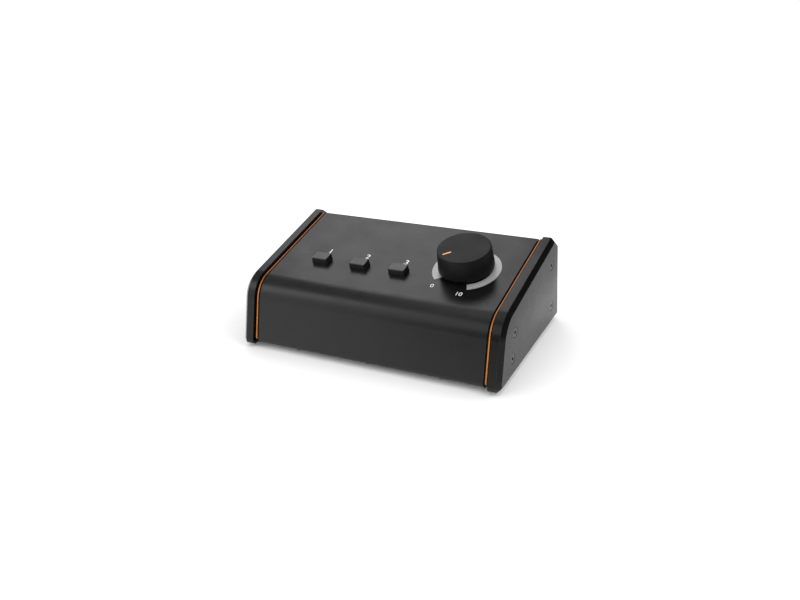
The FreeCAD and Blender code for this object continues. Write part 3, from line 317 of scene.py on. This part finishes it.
@dataclass(frozen=True)
class StripFinish(Finish):
    """Translucent strip: its crown keeps the colour, and its flanks and top run get painted shade of the
    groove.

    Each pair of bounds says where the surface's normal starts and ends a change of colour.
    """

    flank_colour: str = "3a1805"
    handled_colour: str = "a05f2a"
    facing_up: tuple[float, float] = (0.5, 0.9)
    facing_aside: tuple[float, float] = (0.1, 0.6)

    def colour_socket(self, tree: bpy.types.NodeTree,
                      place: bpy.types.NodeSocket) -> bpy.types.NodeSocket:
        """Paint shade on the strip's flanks and on its top run, where the groove shades them.

        Args:
            tree: the material's nodes.
            place: object coordinates.

        Returns:
            The colour output.
        """
        crown = super().colour_socket(tree, place)
        surface = add_node(tree, "ShaderNodeNewGeometry")
        axes = add_node(tree, "ShaderNodeSeparateXYZ", None, {0: surface.outputs["Normal"]})
        # Painted shade on the top run, which faces up.
        rise = add_node(tree, "ShaderNodeMapRange",
                        {"From Min": self.facing_up[0], "From Max": self.facing_up[1]},
                        {"Value": axes.outputs["Z"]})
        top_run_shaded = add_node(tree, "ShaderNodeMix", {"data_type": "RGBA", 7: linear(self.handled_colour)},
                          {0: rise.outputs["Result"], 6: crown})
        # Painted shade on the flanks, which face aside.
        lean = add_node(tree, "ShaderNodeMath", {"operation": "ABSOLUTE"}, {0: axes.outputs["X"]})
        flank = add_node(tree, "ShaderNodeMapRange",
                         {"From Min": self.facing_aside[0], "From Max": self.facing_aside[1]},
                         {"Value": lean.outputs[0]})
        mixed = add_node(tree, "ShaderNodeMix", {"data_type": "RGBA", 7: linear(self.flank_colour)},
                         {0: flank.outputs["Result"], 6: top_run_shaded.outputs[2]})
        return mixed.outputs[2]


# Satin powder coat on the bent steel: near black, with a soft grey sheen that follows the bends. Its edges
# are lightened by wear and a painted highlight.
BODY_COAT = Finish("satin_powder_coat", "0d0d0d", "111111", 0.3, 0.03, specular=0.45, mottle_mm=12.0,
                   grain=Grain.ORANGE_PEEL, grain_mm=0.9, grain_depth_mm=0.002,
                   worn_colour="343434", edge_mm=0.25)
# The same coat on the thicker cheeks, whose cut edges are lightened a little by rubbing and a painted
# highlight.
CHEEK_COAT = Finish("satin_cheek_paint", "0b0b0b", "0f0f0f", 0.27, 0.03, specular=0.36, mottle_mm=10.0,
                    grain=Grain.ORANGE_PEEL, grain_mm=0.8, grain_depth_mm=0.004, worn_colour="3c3c3c")
# Silicone strip: saturated orange with a soft glow in its thin crown, and painted shade on its flanks and
# top run.
ORANGE_SILICONE = StripFinish("orange_silicone", "d8862f", "c97722", 0.38, 0.05, specular=0.4,
                              mottle_mm=3.0, grain=Grain.SPARK_TEXTURE, grain_mm=0.5,
                              grain_depth_mm=0.006, subsurface=0.05)
# Black glass-filled nylon: dull, with the fine sand of the tool.
BLACK_NYLON = Finish("black_moulded_nylon", "0d0d0d", "131313", 0.5, 0.06, grain=Grain.SPARK_TEXTURE,
                     grain_mm=0.5, grain_depth_mm=0.008)
# Zinc plate: pale, bluish and a little cloudy.
ZINC_PLATE = Finish("zinc_plated_steel", "b9bcc0", "a4a8ae", 0.34, 0.08, metallic=1.0, mottle_mm=2.5,
                    grain=Grain.BRUSHED, grain_mm=0.5, grain_depth_mm=0.002)
# Black oxide on the screws: dark, oily, and polished bright on the rims, which also carry a painted
# highlight.
BLACK_OXIDE = Finish("black_oxide_steel", "3c3c3d", "4a4a4b", 0.26, 0.06, metallic=0.85, mottle_mm=1.5,
                     worn_colour="d0d0d0", edge_mm=0.16)
# Rubber of the feet: black, dry and dusty.
FOOT_RUBBER = Finish("black_foot_rubber", "171717", "222120", 0.75, 0.08, grain=Grain.SPARK_TEXTURE,
                     grain_mm=0.7, grain_depth_mm=0.02, sheen=0.1)
# Soft-touch lacquer of the knob: deep black without a sharp highlight, its rims lightened by wear and a
# painted highlight.
SOFT_TOUCH = Finish("soft_touch_lacquer", "0a0a0a", "0d0d0d", 0.42, 0.04, specular=0.2, mottle_mm=5.0,
                    grain=Grain.SPARK_TEXTURE, grain_mm=0.45, grain_depth_mm=0.004, sheen=0.02,
                    worn_colour="2a2a2a", edge_mm=0.3)
# Enamel in the pointer's groove: pale, warm orange.
POINTER_ENAMEL = Finish("pale_orange_enamel", "e8965c", "dc8246", 0.3, 0.04, mottle_mm=1.5)
# Button plastic: dark grey ABS with a fine even texture that catches the light on top. Its edges are
# lightened by wear and a painted highlight.
BUTTON_ABS = Finish("dark_grey_abs", "161616", "1b1b1b", 0.36, 0.04, specular=0.9,
                    grain=Grain.SPARK_TEXTURE, grain_mm=0.45, grain_depth_mm=0.005,
                    worn_colour="3c3c3c", edge_mm=0.25)
# Satin foil of the arc: light silver with the short scratches of its brushing.
SILVER_FOIL = Finish("satin_silver_foil", "b4b4b4", "a9a9a9", 0.46, 0.06, metallic=0.35, mottle_mm=3.0,
                     grain=Grain.BRUSHED, grain_mm=0.7, grain_depth_mm=0.003)
# Black switch plastic: smooth and slightly glossy.
SWITCH_PBT = Finish("black_switch_plastic", "151515", "1b1b1b", 0.35, 0.05)
# Nickel plate: warm, bright and smooth.
NICKEL_PLATE = Finish("nickel_plate", "c6c2b8", "b3afa5", 0.24, 0.06, metallic=1.0, mottle_mm=2.0)
# Solder mask over laminate: glossy green with runs of copper below.
SOLDER_MASK = BoardFinish("green_solder_mask", "0d4a28", "1d6b3d", 0.25, 0.04, coat=0.3)
# Lacquer of the resistors: pale blue and glossy.
BLUE_LACQUER = Finish("blue_resistor_lacquer", "5d97b5", "4f88a8", 0.28, 0.05, mottle_mm=2.0)
# Flat cable: grey vinyl whose even ridges are painted as lighter and darker stripes.
GREY_VINYL = RibbonFinish("grey_ribbon_vinyl", "8d8d8d", "767676", 0.45, 0.05)
# Screen-printed ink of the numerals: warm white and dull.
WHITE_INK = Finish("white_screen_ink", "e8e8e4", "dcdcd8", 0.6, 0.05, mottle_mm=1.2)


class Paintbox:
    """Makes each finish once and lends it to the pieces."""

    def __init__(self) -> None:
        """Start with no materials made."""
        self.made: dict[str, bpy.types.Material] = {}

    def material(self, finish: Finish) -> bpy.types.Material:
        """The material of a finish, made at its first use."""
        if finish.name not in self.made:
            self.made[finish.name] = finish.build()
        return self.made[finish.name]

    def dress(self, piece: bpy.types.Object, finish: Finish) -> None:
        """Give a piece one material all over."""
        piece.data.materials.clear()
        piece.data.materials.append(self.material(finish))

    def dress_nodes(self, names: tuple[str, ...], finish: Finish) -> None:
        """Give several pieces of the frame one finish.

        Args:
            names: the frame's node names.
            finish: the finish that they all get.
        """
        for name in names:
            self.dress(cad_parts[name], finish)
            LOG.info("dressed %s in %s", name, finish.name)


def deselect() -> None:
    """Clear the selection."""
    bpy.ops.object.select_all(action="DESELECT")


def panel_matrix(across: float, up: float, out: float = 0.0) -> Matrix:
    """The place of a piece that stands on the sloping top.

    Args:
        across: metres to the right of the middle.
        up: metres up the slope from the virtual knee.
        out: metres out of the surface.

    Returns:
        The matrix that takes the piece's own XY plane onto the top.
    """
    return (Matrix.Translation(PANEL_ORIGIN) @ Matrix.Rotation(PANEL_SLOPE, 4, "X")
            @ Matrix.Translation((across, up, out)))


def settle(piece: bpy.types.Object, place: Matrix, body: str) -> None:
    """Bake a piece's place into its mesh and tie it to its body.

    Args:
        piece: the finished mesh object.
        place: where it goes in the case's frame.
        body: the moving body that it rides on.
    """
    deselect()
    piece.matrix_world = place
    piece.select_set(True)
    bpy.context.view_layer.objects.active = piece
    bpy.ops.object.transform_apply(location=True, rotation=True, scale=True)
    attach(piece, body)
    LOG.info("built %s on %s", piece.name, body)


def numeral(name: str, text: str, height: float, body: str, place: Matrix,
            paint: Paintbox) -> None:
    """Print a plain numeral as a thin layer of ink.

    Args:
        name: the piece's name.
        text: the digits.
        height: the digits' height in metres.
        body: the body that carries the print.
        place: where the digits stand, centred, in the case's frame.
        paint: where its ink comes from.
    """
    deselect()
    bpy.ops.object.text_add()
    digits = bpy.context.object
    digits.name = name
    digits.data.body = text
    digits.data.size = height / DIGIT_SHARE
    digits.data.align_x = "CENTER"
    digits.data.align_y = "CENTER"
    digits.data.extrude = HALF_INK
    digits.data.resolution_u = 6
    bpy.ops.object.convert(target="MESH")
    digits = bpy.context.object
    paint.dress(digits, WHITE_INK)
    settle(digits, place @ Matrix.Translation((0, 0, HALF_INK)), body)


@dataclass
class Case:
    """Body, cheeks, strips and everything that holds them together."""

    coats: dict[Finish, tuple[str, ...]] = field(default_factory=lambda: {
        BODY_COAT: ("top_shell", "base_pan"),
        CHEEK_COAT: ("left_cheek", "right_cheek"),
        ORANGE_SILICONE: ("left_accent_strip", "right_accent_strip"),
        BLACK_NYLON: ("left_spacer", "right_spacer"),
        ZINC_PLATE: ("left_end_bracket", "right_end_bracket", "press_nuts"),
        BLACK_OXIDE: ("cheek_screws", "case_screws"),
        FOOT_RUBBER: ("rubber_feet",),
    })

    def dress(self, paint: Paintbox) -> None:
        """Give each piece of the case its coat."""
        for finish, names in self.coats.items():
            paint.dress_nodes(names, finish)


@dataclass
class VolumeControl:
    """Knob, arc and the potentiometer under them."""

    radius: float = 15.8 * MM
    top_radius: float = 15.0 * MM
    bottom: float = 2.0 * MM
    top: float = 14.3 * MM
    wall: float = 2.0 * MM
    crown: float = 2.3 * MM
    rim_round: float = 0.55 * MM
    rim_segments: int = 5
    rim_angle: float = math.radians(40)
    smooth_angle: float = math.radians(35)
    dish: float = 0.15 * MM
    dish_inset: float = 0.45
    facing: float = 0.9
    numeral_height: float = 3.0 * MM
    numeral_reach: float = 22.9 * MM
    numerals: tuple[tuple[str, str, float], ...] = (("volume_low_numeral", "0", 236.0),
                                                    ("volume_high_numeral", "10", 281.0))
    sides: int = 128

    def build(self, paint: Paintbox) -> None:
        """Model the knob and the numbers at the ends of its travel."""
        knob = self.turn_knob()
        paint.dress(knob, SOFT_TOUCH)
        settle(knob, panel_matrix(KNOB_ACROSS, KNOB_UP), "volume_control")
        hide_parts("volume_knob")
        for name, text, degrees in self.numerals:
            angle = math.radians(degrees)
            spot = panel_matrix(KNOB_ACROSS + self.numeral_reach * math.cos(angle),
                                KNOB_UP + self.numeral_reach * math.sin(angle))
            numeral(name, text, self.numeral_height, "case", spot, paint)

    def turn_knob(self) -> bpy.types.Object:
        """Shape the knob from a cylinder: taper, dished top, rounded rim, hollow underside.

        Returns:
            The knob, standing on its own XY plane.
        """
        deselect()
        height = self.top - self.bottom
        bpy.ops.mesh.primitive_cylinder_add(vertices=self.sides, radius=self.radius, depth=height,
                                            location=(0, 0, self.bottom + height / 2))
        knob = bpy.context.object
        knob.name = "turned_knob"
        bpy.ops.object.transform_apply(location=True, rotation=False, scale=False)
        self.pick_faces(knob, lambda face: face.normal.z > self.facing)
        shrink = self.top_radius / self.radius
        bpy.ops.transform.resize(value=(shrink, shrink, 1.0))
        bpy.ops.mesh.inset(thickness=self.rim_round * 2)
        bpy.ops.mesh.inset(thickness=self.top_radius * self.dish_inset)
        bpy.ops.transform.translate(value=(0, 0, -self.dish))
        bpy.ops.object.mode_set(mode="OBJECT")
        self.pick_faces(knob, lambda face: face.normal.z < -self.facing)
        bpy.ops.mesh.inset(thickness=self.wall)
        hollow = height - self.crown
        bpy.ops.mesh.extrude_region_move(TRANSFORM_OT_translate={"value": (0, 0, hollow)})
        bpy.ops.object.mode_set(mode="OBJECT")
        self.round_rims(knob)
        bpy.ops.object.shade_smooth_by_angle(angle=self.smooth_angle)
        return knob

    def pick_faces(self, piece: bpy.types.Object, wanted: Callable[[bpy.types.MeshPolygon], bool]) -> None:
        """Enter edit mode with only the wanted faces selected.

        Args:
            piece: the mesh object.
            wanted: a test on each face.
        """
        deselect()
        piece.select_set(True)
        bpy.context.view_layer.objects.active = piece
        bpy.ops.object.mode_set(mode="EDIT")
        bpy.ops.mesh.select_all(action="DESELECT")
        bpy.ops.object.mode_set(mode="OBJECT")
        for part in (piece.data.vertices, piece.data.edges):
            for item in part:
                item.select = False
        for face in piece.data.polygons:
            face.select = wanted(face)
        bpy.ops.object.mode_set(mode="EDIT")
        bpy.ops.mesh.select_mode(type="FACE")

    def round_rims(self, knob: bpy.types.Object) -> None:
        """Round the knob's sharp rims with a bevel modifier, then apply it."""
        rims = knob.modifiers.new("rims", "BEVEL")
        rims.width = self.rim_round
        rims.segments = self.rim_segments
        rims.limit_method = "ANGLE"
        rims.angle_limit = self.rim_angle
        bpy.context.view_layer.objects.active = knob
        bpy.ops.object.modifier_apply(modifier="rims")

    def dress(self, paint: Paintbox) -> None:
        """Give the rest of the volume control its finishes."""
        paint.dress_nodes(("volume_knob",), SOFT_TOUCH)
        paint.dress_nodes(("knob_pointer",), POINTER_ENAMEL)
        paint.dress_nodes(("volume_arc",), SILVER_FOIL)
        paint.dress_nodes(("pot_housing", "pot_shaft", "pot_washer", "pot_nut"), NICKEL_PLATE)
        paint.dress_nodes(("pot_wafer",), SOLDER_MASK)


@dataclass
class ButtonRow:
    """Three push buttons with a plain number behind each."""

    places: tuple[float, ...] = (-45.0 * MM, -20.0 * MM, 5.0 * MM)
    row: float = 29.2 * MM
    numeral_up: float = 38.4 * MM
    numeral_shift: float = 0.5 * MM
    numeral_height: float = 4.2 * MM
    names: tuple[str, ...] = ("left", "middle", "right")

    def build(self, paint: Paintbox) -> None:
        """Print the number behind each button."""
        for count, (name, across) in enumerate(zip(self.names, self.places), start=1):
            spot = panel_matrix(across + self.numeral_shift, self.numeral_up)
            numeral(f"{name}_button_numeral", str(count), self.numeral_height, "case", spot,
                    paint)

    def dress(self, paint: Paintbox) -> None:
        """Give caps, plungers and switch housings their plastics."""
        for name in self.names:
            paint.dress_nodes((f"{name}_button_cap",), BUTTON_ABS)
            paint.dress_nodes((f"{name}_switch_plunger", f"{name}_switch_housing"), SWITCH_PBT)


@dataclass
class RearSockets:
    """Four jacks and a small one through the rear panel, each with a number."""

    numeral_height: float = 3.0 * MM
    numeral_z: float = 30.5 * MM
    jacks: tuple[str, ...] = ("left_input_jack", "right_input_jack", "left_output_jack", "right_output_jack")

    def build(self, paint: Paintbox) -> None:
        """Print a number over each socket."""
        facing_back = Matrix.Rotation(math.pi, 4, "Z") @ Matrix.Rotation(math.pi / 2, 4, "X")
        spots = sorted(JACKS_X + (AUX_X,), reverse=True)
        for count, x in enumerate(spots, start=1):
            place = Matrix.Translation((x, REAR_FACE_Y, self.numeral_z)) @ facing_back
            numeral(f"socket_numeral_{count}", str(count), self.numeral_height, "case", place,
                    paint)

    def dress(self, paint: Paintbox) -> None:
        """Give sockets and nuts their finishes."""
        paint.dress_nodes(self.jacks + ("aux_jack", "jack_nuts"), BLACK_NYLON)
        paint.dress_nodes(("aux_nut",), NICKEL_PLATE)


@dataclass
class Boards:
    """Circuit boards and what stands on them."""

    coats: dict[Finish, tuple[str, ...]] = field(default_factory=lambda: {
        SOLDER_MASK: ("main_board", "connector_board"),
        ZINC_PLATE: ("board_standoffs", "connector_standoffs", "board_screws"),
        BLUE_LACQUER: ("pad_resistors",),
        BLACK_NYLON: ("ribbon_sockets",),
        GREY_VINYL: ("ribbon_cable",),
    })

    def dress(self, paint: Paintbox) -> None:
        """Give the boards and their parts their finishes."""
        for finish, names in self.coats.items():
            paint.dress_nodes(names, finish)


@dataclass(frozen=True)
class Card:
    """A flat card beside the object, seen only in its reflections."""

    name: str
    centre: tuple[float, float, float]
    size: tuple[float, float]
    colour: str = "050505"
    lies_flat: bool = False


@dataclass(frozen=True)
class Softbox:
    """A soft lamp that faces the object."""

    name: str
    place: tuple[float, float, float]
    size: tuple[float, float]
    watts: float
    mirrored: bool = True


@dataclass
class Studio:
    """White floor, soft lamps, cards and the camera, whose place is solved from the outline."""

    camera_place: tuple[float, float, float] = (225.13 * MM, -408.84 * MM, 253.04 * MM)
    camera_right: tuple[float, float, float] = (0.88997, 0.4509, -0.06812)
    camera_up: tuple[float, float, float] = (-0.14779, 0.42652, 0.89232)
    lens: float = 40.477
    sensor: float = 36.0
    nearest: float = 0.01
    ambient: float = 1.2
    floor_size: float = 6.0
    floor_drop: float = 0.05 * MM
    floor_lift: float = 0.03
    floor_colour: tuple[float, float, float, float] = (0.8, 0.8, 0.8, 1.0)
    aim: tuple[float, float, float] = (0.0, 0.0, 0.025)
    cards: tuple[Card, ...] = (
        Card("back_card", (0.1, 0.95, 0.75), (4.4, 1.8)),
        Card("top_card", (0.5, -0.35, 1.35), (2.0, 1.5)),
        Card("top_left_card", (-0.95, -0.05, 1.3), (1.2, 0.8), "969696"),
        Card("front_card", (0.2, -1.05, 0.2), (1.4, 0.7)),
        Card("right_card", (0.85, -0.2, 0.33), (1.5, 0.85)),
        Card("grey_floor_card", (0.5, 0.1, 0.001), (0.8, 1.4), "aaaaaa", True),
    )
    softboxes: tuple[Softbox, ...] = (
        Softbox("back_softbox", (-0.441, 0.622, 0.79), (0.51, 0.56), 1.8),
        Softbox("left_softbox", (-0.664, -0.519, 0.707), (0.4, 0.4), 0.7),
        Softbox("right_softbox", (1.0, 0.15, 0.85), (1.0, 1.0), 6.6, mirrored=False),
    )

    def build(self) -> None:
        """Set up the whole studio."""
        self.light_world()
        self.lay_floor()
        for card in self.cards:
            self.stand_card(card)
        self.hang_lamps()
        self.place_camera()

    def light_world(self) -> None:
        """Light from all round, with white behind the object for the camera and in reflections."""
        world = bpy.data.worlds.new("pale_studio")
        bpy.context.scene.world = world
        world.use_nodes = True
        tree = world.node_tree
        tree.nodes.clear()
        seen = self.seen_rays(tree)
        fill = add_node(tree, "ShaderNodeBackground",
                        {"Color": (1, 1, 1, 1), "Strength": self.ambient})
        white = add_node(tree, "ShaderNodeBackground", {"Color": (1, 1, 1, 1), "Strength": 1.0})
        mix = add_node(tree, "ShaderNodeMixShader", None,
                       {0: seen, 1: fill.outputs["Background"], 2: white.outputs["Background"]})
        add_node(tree, "ShaderNodeOutputWorld", None, {"Surface": mix.outputs["Shader"]})

    def seen_rays(self, tree: bpy.types.NodeTree) -> bpy.types.NodeSocket:
        """Pick the rays that see the background.

        Args:
            tree: the node tree to add to.

        Returns:
            One for camera, glossy and transmission rays, and nought for the rest.
        """
        path = add_node(tree, "ShaderNodeLightPath")
        either = add_node(tree, "ShaderNodeMath", {"operation": "MAXIMUM"},
                          {0: path.outputs["Is Camera Ray"], 1: path.outputs["Is Glossy Ray"]})
        seen = add_node(tree, "ShaderNodeMath", {"operation": "MAXIMUM"},
                        {0: either.outputs[0], 1: path.outputs["Is Transmission Ray"]})
        return seen.outputs[0]

    def matt_material(self, name: str, colour: tuple[float, float, float, float]) -> bpy.types.Material:
        """A material without any gloss.

        Args:
            name: the material's name.
            colour: its linear colour.

        Returns:
            The new material.
        """
        material = bpy.data.materials.new(name)
        material.use_nodes = True
        shader = material.node_tree.nodes["Principled BSDF"]
        shader.inputs["Base Color"].default_value = colour
        shader.inputs["Roughness"].default_value = 1.0
        shader.inputs["Specular IOR Level"].default_value = 0.0
        return material

    def lay_floor(self) -> None:
        """A white floor that stays white where it is lit and keeps the object's shadow."""
        deselect()
        bpy.ops.mesh.primitive_plane_add(size=self.floor_size, location=(0, 0, -self.floor_drop))
        floor = bpy.context.object
        floor.name = "studio_floor"
        material = self.matt_material("matt_white_floor", self.floor_colour)
        tree = material.node_tree
        shader = tree.nodes["Principled BSDF"]
        shader.inputs["Emission Color"].default_value = (1.0, 1.0, 1.0, 1.0)
        lift = add_node(tree, "ShaderNodeMath", {"operation": "MULTIPLY", 1: self.floor_lift},
                        {0: self.seen_rays(tree)})
        tree.links.new(lift.outputs[0], shader.inputs["Emission Strength"])
        floor.data.materials.append(material)

    def stand_card(self, card: Card) -> None:
        """Stand one card so that it faces the object, or lay it on the floor.

        Args:
            card: its place, size and colour.
        """
        deselect()
        centre = Vector(card.centre)
        bpy.ops.mesh.primitive_plane_add(size=1.0)
        board = bpy.context.object
        board.name = card.name
        facing = Vector((0.0, 0.0, 1.0)) if card.lies_flat else Vector(self.aim) - centre
        turn = facing.to_track_quat("Z", "Y")
        board.matrix_world = (Matrix.Translation(centre) @ turn.to_matrix().to_4x4()
                              @ Matrix.Diagonal((card.size[0], card.size[1], 1.0, 1.0)))
        board.visible_camera = False
        board.visible_diffuse = False
        board.visible_shadow = False
        board.data.materials.append(self.matt_material(card.name, linear(card.colour)))
        LOG.info("stood up %s", card.name)

    def hang_lamps(self) -> None:
        """Hang one softbox behind, one in front on the left and a broad one on the right."""
        for softbox in self.softboxes:
            deselect()
            bpy.ops.object.light_add(type="AREA", location=softbox.place)
            lamp = bpy.context.object
            lamp.name = softbox.name
            lamp.data.shape = "RECTANGLE"
            lamp.data.size, lamp.data.size_y = softbox.size
            lamp.data.energy = softbox.watts
            lamp.visible_glossy = softbox.mirrored
            away = Vector(softbox.place) - Vector(self.aim)
            lamp.rotation_euler = away.to_track_quat("Z", "Y").to_euler()
            LOG.info("hung %s", softbox.name)

    def place_camera(self) -> None:
        """Look from the photograph's angle."""
        right = Vector(self.camera_right).normalized()
        back = right.cross(Vector(self.camera_up)).normalized()
        up = back.cross(right)
        deselect()
        bpy.ops.object.camera_add()
        camera = bpy.context.object
        camera.name = "product_camera"
        turn = Matrix((right, up, back)).transposed().to_4x4()
        camera.matrix_world = Matrix.Translation(self.camera_place) @ turn
        camera.data.sensor_width = self.sensor
        camera.data.lens = self.lens
        camera.data.clip_start = self.nearest
        bpy.context.scene.camera = camera


def main() -> None:
    """Dress the whole controller and light it."""
    logging.basicConfig(level=logging.INFO, format="%(name)s: %(message)s")
    bpy.context.scene.view_settings.view_transform = "Standard"
    Studio().build()
    paint = Paintbox()
    Case().dress(paint)
    volume = VolumeControl()
    volume.build(paint)
    volume.dress(paint)
    buttons = ButtonRow()
    buttons.build(paint)
    buttons.dress(paint)
    sockets = RearSockets()
    sockets.build(paint)
    sockets.dress(paint)
    Boards().dress(paint)


if __name__ == "__main__":
    main()
